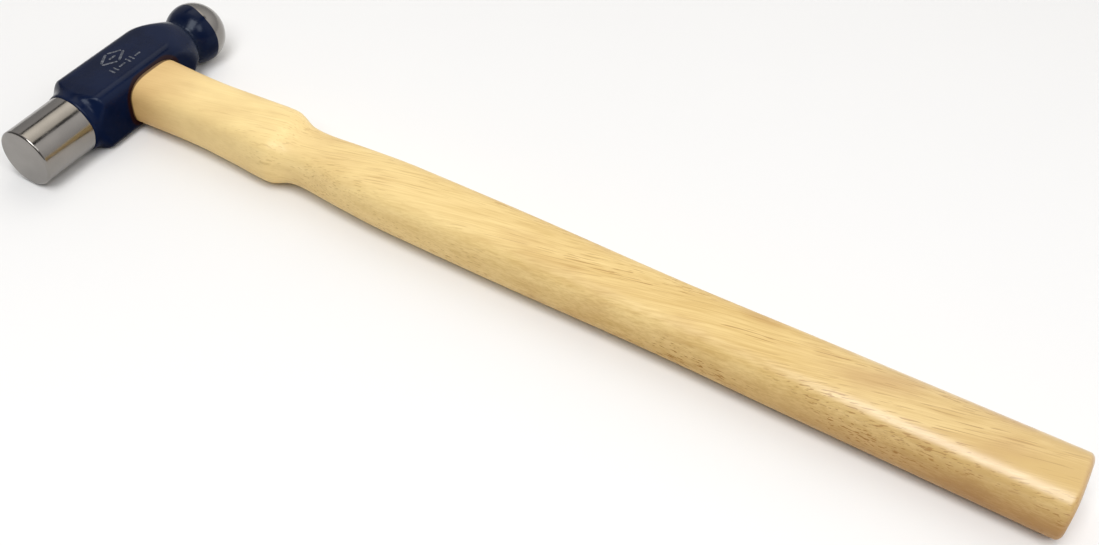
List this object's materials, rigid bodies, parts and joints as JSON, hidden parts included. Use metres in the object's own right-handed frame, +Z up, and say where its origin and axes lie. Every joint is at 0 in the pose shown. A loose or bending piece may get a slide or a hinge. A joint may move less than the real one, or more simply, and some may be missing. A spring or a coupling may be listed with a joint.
{
  "type": "ball-pein hammer",
  "caption": "Ball-pein hammer: forged steel head with a flat round striking face and a ball pein, wedged on a shaped wooden handle.",
  "frame": {"origin": "middle of the base of the bounding box, on the surface that the hammer lies on", "axes": "+X along the handle from the eye to the butt, +Y along the head from the striking face to the ball, +Z up, square to the head's cheek"},
  "size_m": [0.3136, 0.085, 0.0202],
  "materials": {
    "head_paint": "glossy navy lacquer over forged steel; the poll and the cap of the ball are bright ground steel",
    "bright_steel": "ground and polished bare steel of the poll and the ball's cap",
    "handle_wood": "clear lacquered pale straight-grained hardwood",
    "wedge_wood": "bare wood, cut flush",
    "wedge_steel": "dull rolled steel, burred by the hammer that drove it"
  },
  "bodies": {
    "root": {"head": "head_paint", "handle": "handle_wood", "wooden_wedge": "wedge_wood", "steel_wedge_poll_side": "wedge_steel", "steel_wedge_ball_side": "wedge_steel"}
  },
  "joints": []
}
